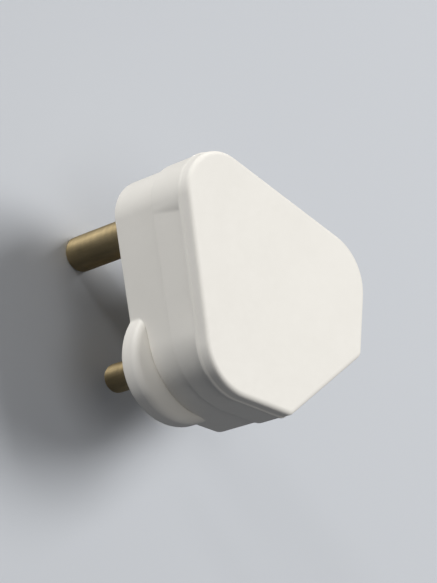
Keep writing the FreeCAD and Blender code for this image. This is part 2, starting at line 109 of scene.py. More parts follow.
class NodeGraph:
    """A material's node tree with short calls to add and join its nodes."""

    def __init__(self, name: str) -> None:
        """Start an empty material with an output node.

        Args:
            name: The material's name.
        """
        self.material = bpy.data.materials.new(name)
        self.material.use_nodes = True
        self.tree = self.material.node_tree
        self.tree.nodes.clear()
        self.output = self.tree.nodes.new("ShaderNodeOutputMaterial")

    def add(self, kind: str, values: dict | None = None, **settings: object) -> bpy.types.Node:
        """Add a node.

        Args:
            kind: The node's type without its ShaderNode prefix.
            values: Constants for its input sockets, by socket name.
            settings: Properties of the node itself.

        Returns:
            The new node.
        """
        node = self.tree.nodes.new("ShaderNode" + kind)
        for key, value in settings.items():
            setattr(node, key, value)
        for key, value in (values or {}).items():
            node.inputs[key].default_value = value
        return node

    def join(self, source: bpy.types.NodeSocket, target: bpy.types.NodeSocket) -> None:
        """Link one socket to another."""
        self.tree.links.new(source, target)

    def pattern(self, stretch: Triple, scale: float, detail: float) -> bpy.types.NodeSocket:
        """Noise on Object coordinates.

        Args:
            stretch: How much the coordinates are scaled along each axis.
            scale: Noise cells per metre.
            detail: Octaves of the noise.

        Returns:
            The noise factor's socket.
        """
        place = self.add("TexCoord")
        mapping = self.add("Mapping", {"Scale": stretch})
        noise = self.add("TexNoise", {"Scale": scale, "Detail": detail, "Roughness": 0.55})
        self.join(place.outputs["Object"], mapping.inputs["Vector"])
        self.join(mapping.outputs["Vector"], noise.inputs["Vector"])
        return noise.outputs["Fac"]

    def spread(self, factor: bpy.types.NodeSocket, low: float, high: float) -> bpy.types.NodeSocket:
        """Carry a noise factor over to a range of values.

        Args:
            factor: The noise.
            low: Value where the noise is lowest.
            high: Value where it is highest.

        Returns:
            The mapped value's socket.
        """
        ranged = self.add("MapRange", {"From Min": 0.3, "From Max": 0.7, "To Min": low, "To Max": high})
        self.join(factor, ranged.inputs["Value"])
        return ranged.outputs["Result"]

    def blend(self, factor: bpy.types.NodeSocket, first: Colour, second: Colour) -> bpy.types.NodeSocket:
        """Mix two colours by a noise factor.

        Args:
            factor: The noise.
            first: Colour where the noise is low.
            second: Colour where it is high.

        Returns:
            The mixed colour's socket.
        """
        ramp = self.add("ValToRGB")
        ramp.color_ramp.elements[0].position = 0.32
        ramp.color_ramp.elements[1].position = 0.68
        ramp.color_ramp.elements[0].color = (*first, 1.0)
        ramp.color_ramp.elements[1].color = (*second, 1.0)
        self.join(factor, ramp.inputs["Fac"])
        return ramp.outputs["Color"]

    def bump(
        self, factor: bpy.types.NodeSocket, depth: float, over: bpy.types.NodeSocket | None = None
    ) -> bpy.types.NodeSocket:
        """Turn a height pattern into a bumped normal.

        Args:
            factor: The height pattern.
            depth: Height of the bumps in metres.
            over: A normal that this one is laid over.

        Returns:
            The normal's socket.
        """
        node = self.add("Bump", {"Strength": 1.0, "Distance": depth})
        self.join(factor, node.inputs["Height"])
        if over is not None:
            self.join(over, node.inputs["Normal"])
        return node.outputs["Normal"]


@dataclass(frozen=True)
class MouldedPlastic:
    """Satin moulded plastic: faint mottle, fine mould grain and a slow ripple."""

    name: str
    pale: Colour
    deep: Colour
    smoothest: float
    roughest: float
    shine: float = 0.35
    grain_depth: float = 4e-6
    ripple_depth: float = 4e-5

    def build(self) -> bpy.types.Material:
        """Make the material."""
        graph = NodeGraph(self.name)
        shader = graph.add("BsdfPrincipled", {"IOR": 1.5, "Specular IOR Level": self.shine})
        mottle = graph.pattern((1, 1, 1), 90.0, 4.0)
        satin = graph.pattern((1, 1, 1), 700.0, 3.0)
        grain = graph.pattern((1, 1, 1), 3200.0, 2.0)
        ripple = graph.pattern((1, 1, 1), 120.0, 1.0)
        graph.join(graph.blend(mottle, self.deep, self.pale), shader.inputs["Base Color"])
        graph.join(graph.spread(satin, self.smoothest, self.roughest), shader.inputs["Roughness"])
        normal = graph.bump(grain, self.grain_depth, graph.bump(ripple, self.ripple_depth))
        graph.join(normal, shader.inputs["Normal"])
        graph.join(shader.outputs["BSDF"], graph.output.inputs["Surface"])
        return graph.material


@dataclass(frozen=True)
class TurnedMetal:
    """Turned metal: tool rings round the Z axis, a tarnish worn in streaks along it, an uneven polish."""

    name: str
    bright: Colour
    dull: Colour
    smoothest: float
    roughest: float
    sheen: float = 0.5
    ring_depth: float = 3e-6

    def build(self) -> bpy.types.Material:
        """Make the material."""
        graph = NodeGraph(self.name)
        shader = graph.add(
            "BsdfPrincipled", {"Metallic": 1.0, "Anisotropic": self.sheen, "Anisotropic Rotation": 0.25}
        )
        tarnish = graph.pattern((1.0, 1.0, 0.12), 700.0, 5.0)
        rings = graph.pattern((0.02, 0.02, 1.0), 5200.0, 3.0)
        polish = graph.pattern((0.1, 0.1, 1.0), 900.0, 4.0)
        graph.join(graph.blend(tarnish, self.dull, self.bright), shader.inputs["Base Color"])
        graph.join(graph.spread(polish, self.smoothest, self.roughest), shader.inputs["Roughness"])
        graph.join(graph.bump(rings, self.ring_depth), shader.inputs["Normal"])
        graph.join(shader.outputs["BSDF"], graph.output.inputs["Surface"])
        return graph.material


@dataclass(frozen=True)
class PressedFibre:
    """Pressed fibre board: brown, matt, with pale flecks."""

    name: str
    ground: Colour
    fleck: Colour

    def build(self) -> bpy.types.Material:
        """Make the material."""
        graph = NodeGraph(self.name)
        shader = graph.add("BsdfPrincipled", {"IOR": 1.45})
        flecks = graph.pattern((1.0, 0.3, 1.0), 1800.0, 5.0)
        nap = graph.pattern((1, 1, 1), 2400.0, 4.0)
        graph.join(graph.blend(flecks, self.ground, self.fleck), shader.inputs["Base Color"])
        graph.join(graph.spread(nap, 0.62, 0.82), shader.inputs["Roughness"])
        graph.join(graph.bump(nap, 2e-5), shader.inputs["Normal"])
        graph.join(shader.outputs["BSDF"], graph.output.inputs["Surface"])
        return graph.material


class Carve(Enum):
    """What a helper solid does to a piece."""

    ADD = "UNION"
    TAKE = "DIFFERENCE"


def closed_shell(name: str, rings: Points) -> bpy.types.Mesh:
    """Skin rings of points into a closed surface.

    Ring k is joined to ring k + 1 by quads, and the first and the last ring are closed by fans to
    their mean points. The faces are turned outwards by the sign of the enclosed volume, which is the
    sum of a . (b x c) / 6 over the triangles.

    Args:
        name: The mesh's name.
        rings: Array (rings, points, 3) in millimetres.

    Returns:
        The mesh, in metres.
    """
    count, around = rings.shape[:2]
    first = np.arange(count - 1)[:, None] * around
    here = np.arange(around)[None, :]
    beyond = (here + 1) % around
    quads = np.stack(
        [first + here, first + beyond, first + around + beyond, first + around + here], axis=-1
    ).reshape(-1, 4)
    low_pole, high_pole = count * around, count * around + 1
    last = (count - 1) * around
    low_fan = np.stack([beyond[0], here[0], np.full(around, low_pole)], axis=-1)
    high_fan = np.stack([last + here[0], last + beyond[0], np.full(around, high_pole)], axis=-1)
    points = np.concatenate([rings.reshape(-1, 3), rings[:1].mean(axis=1), rings[-1:].mean(axis=1)])

    triangles = np.concatenate([quads[:, :3], quads[:, [0, 2, 3]], low_fan, high_fan])
    a, b, c = (points[triangles[:, k]] for k in range(3))
    volume = np.einsum("ij,ij->i", a, np.cross(b, c)).sum() / 6
    turn = slice(None, None, -1 if volume < 0 else 1)
    faces = quads[:, turn].tolist() + low_fan[:, turn].tolist() + high_fan[:, turn].tolist()
    mesh = bpy.data.meshes.new(name)
    mesh.from_pydata((points * MM).tolist(), [], faces)
    return mesh


def prism(plan: Points, low: float, high: float) -> bpy.types.Mesh:
    """Upright solid: a closed plan (points, 2) carried straight up from low to high."""
    rings = np.stack([np.column_stack([plan, np.full(len(plan), z)]) for z in (low, high)])
    return closed_shell("helper", rings)


def circle(x: float, y: float, diameter: float, steps: int = 72) -> Points:
    """Points (x + r cos a, y + r sin a) round a circle."""
    angle = np.linspace(0, 2 * np.pi, steps, endpoint=False)
    return np.column_stack([x + diameter / 2 * np.cos(angle), y + diameter / 2 * np.sin(angle)])


def rectangle(x_low: float, x_high: float, y_low: float, y_high: float) -> Points:
    """Corners of a rectangle, anticlockwise."""
    return np.array([(x_low, y_low), (x_high, y_low), (x_high, y_high), (x_low, y_high)])


def flatted(x: float, y: float, diameter: float, flat: float) -> Points:
    """A circle whose two sides across Y are cut to flats: y runs over r sin a, held within the flats."""
    plan = circle(x, y, diameter)
    plan[:, 1] = np.clip(plan[:, 1], y - flat / 2, y + flat / 2)
    return plan


def across_y(mesh: bpy.types.Mesh, y: float, z: float) -> bpy.types.Mesh:
    """Lay an upright helper solid along -Y, with its foot at a height and a distance in millimetres."""
    mesh.transform(Matrix.Translation((0, y * MM, z * MM)) @ Matrix.Rotation(math.radians(90), 4, "X"))
    return mesh


def place(name: str, mesh: bpy.types.Mesh) -> bpy.types.Object:
    """Put a mesh into the scene as an object at the origin."""
    piece = bpy.data.objects.new(name, mesh)
    bpy.context.scene.collection.objects.link(piece)
    return piece


def carve(piece: bpy.types.Object, steps: list[tuple[Carve, bpy.types.Mesh]]) -> None:
    """Add helper solids to a piece and take others away, in order, and keep the result.

    Args:
        piece: The piece to work on.
        steps: Each helper solid with what it does.
    """
    helpers = []
    for how, mesh in steps:
        helper = place("helper", mesh)
        modifier = piece.modifiers.new("carve", "BOOLEAN")
        modifier.object, modifier.operation, modifier.solver = helper, how.value, "MANIFOLD"
        helpers.append(helper)
    plain = piece.data
    ready = piece.evaluated_get(bpy.context.evaluated_depsgraph_get())
    piece.data = bpy.data.meshes.new_from_object(ready)
    piece.data.name = plain.name
    piece.modifiers.clear()
    shape = bmesh.new()
    shape.from_mesh(piece.data)
    bmesh.ops.remove_doubles(shape, verts=shape.verts, dist=SLIVER)
    bmesh.ops.dissolve_degenerate(shape, dist=SLIVER, edges=shape.edges)
    shape.to_mesh(piece.data)
    shape.free()
    for helper in helpers:
        bpy.data.meshes.remove(helper.data)
    bpy.data.meshes.remove(plain)


def finish_piece(piece: bpy.types.Object, material: bpy.types.Material, node: str) -> None:
    """Smooth a piece up to its real edges, dress it and let it stand for its CAD node.

    Args:
        piece: The finished piece.
        material: Its material.
        node: The CAD node that it replaces.
    """
    piece.data.shade_smooth()
    piece.data.set_sharp_from_angle(angle=SHARP_ANGLE)
    piece.data.materials.clear()
    piece.data.materials.append(material)
    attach(piece, BODY)
    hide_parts(node)
    LOG.info("%s replaces %s, %d faces", piece.name, node, len(piece.data.polygons))


@dataclass(frozen=True)
class Plan:
    """Plan of the housing in millimetres: circles (x, y, radius) joined by their outer tangents.

    The lip's circles set the tangents. The walls below the lip have softer shoulders and corners that
    slide along the same tangents.
    """

    apex: Triple = (0.0, 30.4, 10.2)
    shoulder: Triple = (-13.1, -1.2, 13.9)
    corner: Triple = (-12.7, -18.5, 2.6)
    wall_shoulder: float = 18.5
    wall_corner: float = 5.0
    arc_steps: tuple[int, ...] = (100, 72, 40, 40, 72)
    side_steps: tuple[int, ...] = (84, 30, 50, 30, 84)

    def circles(self) -> Points:
        """The lip's circles, anticlockwise from the apex."""
        mirror = np.array([-1, 1, 1])
        left = np.array([self.apex, self.shoulder, self.corner])
        return np.concatenate([left, left[:0:-1] * mirror])

    @staticmethod
    def tangents(circles: Points) -> Points:
        """Outward normals of the outer tangents from each circle to the next.

        The normal leans towards the next circle by the difference of the radii over the distance.

        Args:
            circles: Array (circles, 3).

        Returns:
            Array (circles, 2) of unit normals.
        """
        step = np.roll(circles, -1, axis=0) - circles
        length = np.hypot(step[:, 0], step[:, 1])[:, None]
        along = -step[:, 2:] / length
        across = np.sqrt(1 - along**2)
        side = np.column_stack([step[:, 1], -step[:, 0]])
        return (along * step[:, :2] + across * side) / length

    def trace(self, shoulder: float, corner: float) -> tuple[Points, Points]:
        """Walk round an outline with given radii at its shoulders and corners.

        Each circle gives an arc between the normals of its two tangents, and each tangent a straight
        run to the next circle.

        Args:
            shoulder: Radius of the shoulders.
            corner: Radius of the corners.

        Returns:
            The points (n, 2) and the outward normals (n, 2).
        """
        lip = self.circles()
        normals = self.tangents(lip)
        before = np.roll(normals, 1, axis=0)
        radii = np.array([self.apex[2], shoulder, corner, corner, shoulder])
        shift = (radii - lip[:, 2]) / (1 + (before * normals).sum(axis=1))
        centres = lip[:, :2] - shift[:, None] * (before + normals)
        start = np.arctan2(before[:, 1], before[:, 0])
        turn = (np.arctan2(normals[:, 1], normals[:, 0]) - start) % (2 * np.pi)
        points, outward = [], []
        for k, radius in enumerate(radii):
            angle = start[k] + turn[k] * np.linspace(0, 1, self.arc_steps[k], endpoint=False)
            ray = np.column_stack([np.cos(angle), np.sin(angle)])
            after = (k + 1) % len(radii)
            run = np.linspace(0, 1, self.side_steps[k], endpoint=False)[:, None]
            foot = centres[k] + radius * normals[k]
            head = centres[after] + radii[after] * normals[k]
            points += [centres[k] + radius * ray, foot + run * (head - foot)]
            outward += [ray, np.repeat(normals[k : k + 1], len(run), axis=0)]
        return np.concatenate(points), np.concatenate(outward)

    def walls(self) -> tuple[Points, Points]:
        """Points and normals of the walls' outline."""
        return self.trace(self.wall_shoulder, self.wall_corner)

    def lip(self) -> tuple[Points, Points]:
        """Points and normals of the lip's outline, step for step beside the walls' outline."""
        return self.trace(self.shoulder[2], self.corner[2])

    def along_side(self, points: Points) -> Points:
        """How far points lie past the apex's end of the straight side that they are nearest to."""
        normal = self.tangents(self.circles())[0]
        travel = np.array([-normal[1], normal[0]])
        start = np.array(self.apex[:2]) + self.apex[2] * normal
        folded = np.column_stack([-np.abs(points[:, 0]), points[:, 1]])
        return (folded - start) @ travel


def ring(outline: tuple[Points, Points], inset: float | Points, z: float | Points) -> Points:
    """One ring of a shell: the outline moved in along its normals by inset, at height z.

    Args:
        outline: Points and outward normals.
        inset: Distance in, for all points or for each.
        z: Height, for all points or for each.

    Returns:
        Array (n, 3).
    """
    points, normals = outline
    moved = points - np.broadcast_to(inset, len(points))[:, None] * normals
    return np.column_stack([moved, np.broadcast_to(z, len(points))])


def quarter(radius: float, steps: int) -> Points:
    """Pairs (radius - radius cos a, radius sin a) of a rounded edge, a from 0 to a right angle."""
    angle = np.linspace(0, np.pi / 2, steps)
    return np.column_stack([radius - radius * np.cos(angle), radius * np.sin(angle)])


@dataclass(frozen=True)
class Housing:
    """What the two moulded halves share, in millimetres."""

    plan: Plan = Plan()
    parting: float = 14.7
    tongue_height: float = 1.5
    tongue_thickness: float = 1.0
    tongue_clearance: float = 0.15
    tongue_chamfer: float = 0.2
    base_step: float = 0.7
    base_wall: float = 2.5
    entry_diameter: float = 9.5
    entry_reach: float = 40.0
    grip_x: float = 9.5
    grip_y: float = -13.5
    pins: tuple[PinPlace, ...] = (
        PinPlace("earth", 0.0, 28.575, 8.71, 28.6, 12.0),
        PinPlace("line", 12.7, 0.0, 7.06, 25.2, 10.5),
        PinPlace("neutral", -12.7, 0.0, 7.06, 25.2, 10.5),
    )
    head_flat: float = 0.6
    collar: float = 0.8
    floor: float = 4.0
    screw_y: float = 11.0
    screw_post: float = 10.0
    face_height: float = 27.6
    face_y: float = 10.0
    face_tilt: float = math.radians(2.5)

    def face_level(self, y: float | Points) -> float | Points:
        """Height of the tilted face at a distance along the plug."""
        return self.face_height + (y - self.face_y) * math.tan(self.face_tilt)

    def cord_entry(self, start: float) -> bpy.types.Mesh:
        """Helper solid of the round way in for the cord, from a distance along the plug outwards."""
        return across_y(prism(circle(0, 0, self.entry_diameter), 0, self.entry_reach), start, self.parting)


@dataclass(frozen=True)
class MouldedCover:
    """White cover: lipped face, grip flats in the sides, and posts that hold the pins down."""

    housing: Housing
    lip_height: float = 3.9
    lip_overhang: float = 0.15
    lip_bead: float = 0.28
    lip_bead_rise: tuple[float, float] = (0.4, 1.2)
    lip_edge: float = 0.2
    face_edge: float = 1.5
    face_insets: Triple = (0.06, 0.3, 0.8)
    foot_edge: float = 0.3
    grip_at_parting: float = 0.03
    grip_at_lip: float = 0.42
    grip_start: tuple[float, float] = (1.0, 0.0)
    grip_end: tuple[float, float] = (1.75, 3.15)
    grip_fade: tuple[float, float] = (22.0, 33.0)
    cavity_inset: float = 3.35
    cavity_edge: float = 0.8
    roof: float = 3.0
    hold_down: tuple[float, float] = (10.0, 6.4)
    bore_gap: float = 0.2
    nut: tuple[float, float] = (6.5, 7.0)

    def grip_depth(self, rise: Points) -> Points:
        """How far the side is cut back at each point of the outline, at shares of the wall's height.

        The flat sinks in evenly towards the lip. Its end at the apex comes in as t^2 and stops at a
        crisp edge, and towards the shoulder it fades out along a smooth step 3 t^2 - 2 t^3.

        Args:
            rise: Share of the wall's height for each ring (rings, 1).

        Returns:
            Array (rings, n).
        """
        points, _ = self.housing.plan.walls()
        travel = self.housing.plan.along_side(points)[None, :]
        depth = self.grip_at_parting + (self.grip_at_lip - self.grip_at_parting) * rise
        start, end = (low + (high - low) * rise for low, high in (self.grip_start, self.grip_end))
        ramp = np.clip((travel - start) / (end - start), 0, 1) ** 2
        share = np.clip((travel - self.grip_fade[0]) / (self.grip_fade[1] - self.grip_fade[0]), 0, 1)
        return depth * ramp * (1 - share**2 * (3 - 2 * share))

    def tilted(self, inset: float, depth: float) -> Points:
        """One ring of the lip: inset from its outline, at a depth square to the tilted face."""
        flat = ring(self.housing.plan.lip(), inset, self.lip_height / 2 - depth)
        turn, y = self.housing.face_tilt, flat[:, 1] - self.housing.face_y
        along = self.housing.face_y + y * math.cos(turn) - flat[:, 2] * math.sin(turn)
        up = self.housing.face_height - self.lip_height / 2 + y * math.sin(turn) + flat[:, 2] * math.cos(turn)
        return np.column_stack([flat[:, 0], along, up])

    def inside(self) -> list[Points]:
        """Rings of the hollow, from the middle of the roof down to the parting plane."""
        house = self.housing
        walls = house.plan.walls()
        rebate = house.base_step + house.base_wall - house.tongue_thickness - house.tongue_clearance
        rebate_top = house.parting + house.tongue_height + house.tongue_clearance
        rings = []
        for back, drop in quarter(self.cavity_edge, 6)[::-1]:
            inset = self.cavity_inset + back
            level = house.face_level((walls[0] - inset * walls[1])[:, 1])
            rings.append(ring(walls, inset, level - self.roof - self.cavity_edge + drop))
        rings.append(ring(walls, self.cavity_inset, rebate_top))
        rings += [ring(walls, rebate, rebate_top), ring(walls, rebate, house.parting)]
        return rings

    def outside(self) -> list[Points]:
        """Rings of the skin, from the foot of the wall up to the middle of the face.

        The lip's lower edge is a soft bead, which falls back to the lip's band along 3 t^2 - 2 t^3.

        Returns:
            The rings.
        """
        house = self.housing
        walls = house.plan.walls()
        foot = quarter(self.foot_edge, 5)
        rise = np.linspace(0, 1, 26)[:, None]
        inset = self.lip_overhang + self.grip_depth(rise)
        top = house.face_level(walls[0][:, 1]) - self.lip_height / math.cos(house.face_tilt)
        low = house.parting + self.foot_edge
        rings = [ring(walls, inset[0] + back, low - up) for back, up in foot[::-1]]
        rings += [ring(walls, inset[k], low + share * (top - low)) for k, share in enumerate(rise[1:, 0], 1)]
        edge = quarter(self.lip_edge, 6)
        rings += [self.tilted(back, self.lip_height - self.lip_edge + up) for back, up in edge[::-1]]
        share = np.linspace(0, 1, 10)
        back = self.lip_bead * share**2 * (3 - 2 * share)
        up = self.lip_bead_rise[0] + (self.lip_bead_rise[1] - self.lip_bead_rise[0]) * share
        rings += [self.tilted(inset, self.lip_height - rise) for inset, rise in zip(back, up)]
        brow = quarter(self.face_edge - self.lip_bead, 14)
        rings += [self.tilted(self.lip_bead + back, self.face_edge - self.lip_bead - up) for back, up in brow]
        rings += [self.tilted(self.face_edge + back, 0.0) for back in self.face_insets]
        return rings

    def build(self, material: bpy.types.Material) -> bpy.types.Object:
        """Make the cover.

        Args:
            material: White moulding.

        Returns:
            The piece.
        """
        house = self.housing
        skin = closed_shell("cover_moulding", np.stack(self.inside() + self.outside()))
        piece = place("cover_moulding", skin)
        post, bore = self.hold_down
        steps = []
        for pin in house.pins:
            top = float(house.face_level(pin.y)) - self.roof
            steps.append((Carve.ADD, prism(circle(pin.x, pin.y, post), house.parting, top + self.roof / 2)))
            drill = prism(circle(pin.x, pin.y, bore), house.parting - OVERCUT, top - self.bore_gap)
            steps.append((Carve.TAKE, drill))
        boss_top = float(house.face_level(house.screw_y)) - self.roof / 2
        steps.append((Carve.ADD, prism(circle(0, house.screw_y, house.screw_post), house.parting, boss_top)))
        nut, length = self.nut
        pocket = prism(circle(0, house.screw_y, nut), house.parting - OVERCUT, house.parting + length)
        steps += [(Carve.TAKE, pocket), (Carve.TAKE, house.cord_entry(house.grip_y))]
        carve(piece, steps)
        finish_piece(piece, material, "cover")
        return piece


@dataclass(frozen=True)
class MouldedBase:
    """White base: a tray with finger guards, pin seats, and posts for the screws and the cord grip."""

    housing: Housing
    guard_centre: tuple[float, float] = (15.2, -0.2)
    guard_radius: float = 14.89
    guard_rim: float = 5.2
    guard_top: float = 6.9
    guard_margin: float = 1.5
    no_guard: float = -20.0
    guard_slope: float = math.radians(13.0)
    guard_edge: float = 2.0
    guard_root: float = 0.03
    guard_groove: tuple[float, float] = (0.6, 0.4)
    groove_fade: tuple[float, float] = (1.0, 3.0)
    foot_edge: float = 0.6
    foot_insets: Triple = (0.06, 0.4, 3.0)
    parting_edge: float = 0.15
    skin_levels: tuple[float, ...] = (7.2, 4.5, 3.2)
    skin_rings: tuple[int, ...] = (14, 56, 18, 6)
    floor_edge: float = 0.6
    hole_play: float = 0.05
    seat_play: float = 0.15
    seat_wall: float = 1.3
    seat_height: float = 1.8
    seat_room: float = 3.0
    screw_hole: float = 4.3
    screw_recess: tuple[float, float] = (7.2, 4.0)
    washer_pocket: tuple[float, float] = (7.6, 1.2)
    grip_post: tuple[float, float] = (6.4, 17.55)
    grip_hole: tuple[float, float] = (3.0, 11.8)
    saddle: tuple[float, float, float] = (10.0, 4.0, 13.66)

    def guard_reach(self, z: Points) -> Points:
        """Radius of a finger guard at heights above the engagement face.

        From below: a rounded foot, the upright rim, a bend of guard_edge, then a straight slope.

        Args:
            z: Heights.

        Returns:
            The radii.
        """
        turn = math.pi / 2 - self.guard_slope
        bend = self.guard_rim - self.guard_edge * math.tan(turn / 2)
        bend_end = bend + self.guard_edge * math.sin(turn)
        foot = np.sqrt(np.clip(self.foot_edge**2 - np.clip(self.foot_edge - z, 0, None) ** 2, 0, None))
        up = np.clip(z - bend, 0, self.guard_edge * math.sin(turn))
        curve = np.sqrt(self.guard_edge**2 - up**2) - self.guard_edge
        slope = np.clip(z - bend_end, 0, None) / math.tan(self.guard_slope)
        return self.guard_radius - self.foot_edge + foot + curve - slope

    def guard_offset(self, z: Points) -> Points:
        """How far the finger guards stand out from the wall at each point of the outline.

        A ray from the wall along its normal n leaves the guard's circle at sqrt(R^2 - (q x n)^2) - q . n,
        with q from the circle's middle to the wall. The larger of that and zero is taken softly, as
        (d + sqrt(d^2 + root^2)) / 2, and a fine groove in the wall follows the root as a bell curve of d.

        Args:
            z: Heights (rings, 1).

        Returns:
            Array (rings, n).
        """
        points, normals = self.housing.plan.walls()
        points = points - self.housing.base_step * normals
        folded = np.column_stack([-np.abs(points[:, 0]), points[:, 1]])
        facing = np.column_stack([normals[:, 0] * -np.sign(points[:, 0] + 1e-9), normals[:, 1]])
        away = folded - np.array([-self.guard_centre[0], self.guard_centre[1]])
        along = (away * facing).sum(axis=1)[None, :]
        across = (away[:, 0] * facing[:, 1] - away[:, 1] * facing[:, 0])[None, :]
        reach, full = (
            np.sqrt(np.clip(self.guard_reach(level) ** 2 - across**2, 0, None)) - along
            for level in (z, np.array([[self.foot_edge]]))
        )
        reach = np.where(z > self.guard_top + self.guard_margin, self.no_guard, reach)
        deep, wide = self.guard_groove
        begin, whole = self.groove_fade
        share = np.clip((full - begin) / (whole - begin), 0, 1)
        groove = deep * np.exp(-((reach / wide + 1) ** 2)) * share
        return (reach + np.sqrt(reach**2 + self.guard_root**2)) / 2 - groove

    def inside(self) -> list[Points]:
        """Rings of the tray, from the middle of its floor up over the tongue to the parting plane."""
        house = self.housing
        walls = house.plan.walls()
        inner = house.base_step + house.base_wall
        tongue = inner - house.tongue_thickness
        tongue_top = house.parting + house.tongue_height
        rings = [
            ring(walls, inner + back, house.floor + self.floor_edge - up)
            for back, up in quarter(self.floor_edge, 5)[::-1]
        ]
        chamfer = house.tongue_chamfer
        rings += [ring(walls, inner, z) for z in (house.parting, tongue_top - chamfer)]
        rings += [ring(walls, inset, tongue_top) for inset in (inner - chamfer, tongue + chamfer)]
        rings += [ring(walls, tongue, z) for z in (tongue_top - chamfer, house.parting)]
        return rings

    def outside(self) -> list[Points]:
        """Rings of the skin, from the parting plane down over the guards to the engagement face."""
        house = self.housing
        walls = house.plan.walls()
        high = house.parting - self.parting_edge
        ends = (high, *self.skin_levels, self.foot_edge)
        stretches = zip(ends, ends[1:], self.skin_rings)
        levels = [np.linspace(start, stop, count, endpoint=False) for start, stop, count in stretches]
        foot = self.foot_edge * (1 - np.sin(np.linspace(0, np.pi / 2, 8)))
        z = np.concatenate(levels + [foot])[:, None]
        below = np.clip(self.foot_edge - z, 0, None)
        tuck = self.foot_edge - np.sqrt(np.clip(self.foot_edge**2 - below**2, 0, None))
        offset = self.guard_offset(z)
        bare = np.clip(1 - np.clip(offset, 0, None) / self.guard_root, 0, 1)
        inset = house.base_step - offset + tuck * bare
        brow = quarter(self.parting_edge, 4)[:0:-1]
        rings = [ring(walls, house.base_step + back, high + up) for back, up in brow]
        rings += [ring(walls, inset[k], level) for k, level in enumerate(z[:, 0])]
        rings += [ring(walls, inset[-1] + back, 0.0) for back in self.foot_insets]
        return rings

    def build(self, material: bpy.types.Material) -> bpy.types.Object:
        """Make the base.

        Args:
            material: White moulding.

        Returns:
            The piece.
        """
        house = self.housing
        skin = closed_shell("base_moulding", np.stack(self.inside() + self.outside()))
        piece = place("base_moulding", skin)
        sunk = house.floor / 2
        width, length, saddle_top = self.saddle
        grip_end = house.grip_y + length / 2
        saddle = rectangle(-width / 2, width / 2, house.grip_y - length / 2, grip_end)
        post, post_top = self.grip_post
        steps = [
            (Carve.ADD, prism(saddle, sunk, saddle_top)),
            (Carve.ADD, prism(circle(0, house.screw_y, house.screw_post), sunk, house.parting)),
        ]
        for side in (-house.grip_x, house.grip_x):
            steps.append((Carve.ADD, prism(circle(side, house.grip_y, post), sunk, post_top)))
        for pin in house.pins:
            half, grow = pin.head / 2, self.seat_play + self.seat_wall
            deep = half - house.head_flat + grow
            pad = rectangle(pin.x - half - grow, pin.x + half + grow, pin.y - deep, pin.y + deep)
            steps.append((Carve.ADD, prism(pad, sunk, house.floor + self.seat_height)))
        steps.append((Carve.TAKE, house.cord_entry(grip_end)))
        for pin in house.pins:
            play = 2 * self.seat_play
            head = flatted(pin.x, pin.y, pin.head + play, pin.head - 2 * house.head_flat + play)
            hole = circle(pin.x, pin.y, pin.diameter + 2 * (house.collar + self.hole_play))
            steps.append((Carve.TAKE, prism(hole, -OVERCUT, house.floor + OVERCUT)))
            steps.append((Carve.TAKE, prism(head, house.floor, house.parting + self.seat_room)))
        above = house.parting + OVERCUT
        for diameter, low, high in (
            (self.screw_hole, -OVERCUT, above),
            (self.screw_recess[0], -OVERCUT, self.screw_recess[1]),
            (self.washer_pocket[0], house.parting - self.washer_pocket[1], above),
        ):
            steps.append((Carve.TAKE, prism(circle(0, house.screw_y, diameter), low, high)))
        hole, hole_depth = self.grip_hole
        for side in (-house.grip_x, house.grip_x):
            bore = prism(circle(side, house.grip_y, hole), post_top - hole_depth, post_top + OVERCUT)
            steps.append((Carve.TAKE, bore))
        carve(piece, steps)
        finish_piece(piece, material, "base")
        return piece


@dataclass(frozen=True)
class PinFittings:
    """Turned brass pins with rounded tips, a collar, and a head drilled for the conductor."""

    housing: Housing
    tip_radius: float = 1.0
    chamfer: float = 0.1
    hole_height: float = 8.0
    hole_diameter: float = 4.2
    thread_hole: float = 4.0
    collar_root: float = 0.4
    around: int = 96
    around_holes: int = 48

    def build(self, pin: PinPlace, material: bpy.types.Material) -> bpy.types.Object:
        """Make one pin: a profile (radius, height) spun round the pin's axis, then its drilled head.

        Args:
            pin: Where it stands and how large it is.
            material: Dull brass.

        Returns:
            The piece.
        """
        house, radius = self.housing, pin.diameter / 2
        tip = quarter(self.tip_radius, 10)[::-1] * (-1, -1) + (radius, self.tip_radius - pin.length)
        shank = [(radius, z) for z in np.linspace(self.tip_radius - pin.length, 0, 12)[1:]]
        wide = radius + house.collar
        collar = [(wide - self.chamfer, 0.0), (wide, self.chamfer), (wide, house.floor + self.collar_root)]
        name = pin.name + "_pin"
        profile = np.array([*tip, *shank, *collar])
        piece = place(name + "_turned", spun(name, profile, pin.x, pin.y, self.around))
        flat = pin.head - 2 * house.head_flat
        head = prism(flatted(pin.x, pin.y, pin.head, flat), house.floor, house.parting)
        drill = prism(circle(pin.x, 0, self.hole_diameter, self.around_holes), 0, 2 * pin.head)
        thread = circle(pin.x, pin.y, self.thread_hole, self.around_holes)
        carve(
            piece,
            [
                (Carve.ADD, head),
                (Carve.TAKE, across_y(drill, pin.y + pin.head, self.hole_height)),
                (Carve.TAKE, prism(thread, self.hole_height, house.parting + OVERCUT)),
            ],
        )
        finish_piece(piece, material, name)
        return piece


def spun(name: str, profile: Points, x: float, y: float, around: int) -> bpy.types.Mesh:
    """Spin a profile of (radius, height) round an upright axis: (x + r cos a, y + r sin a, z)."""
    angle = np.linspace(0, 2 * np.pi, around, endpoint=False)[None, :]
    radius, z = profile[:, :1], profile[:, 1:]
    rings = np.stack([x + radius * np.cos(angle), y + radius * np.sin(angle), z + 0 * angle], axis=-1)
    return closed_shell(name, rings)


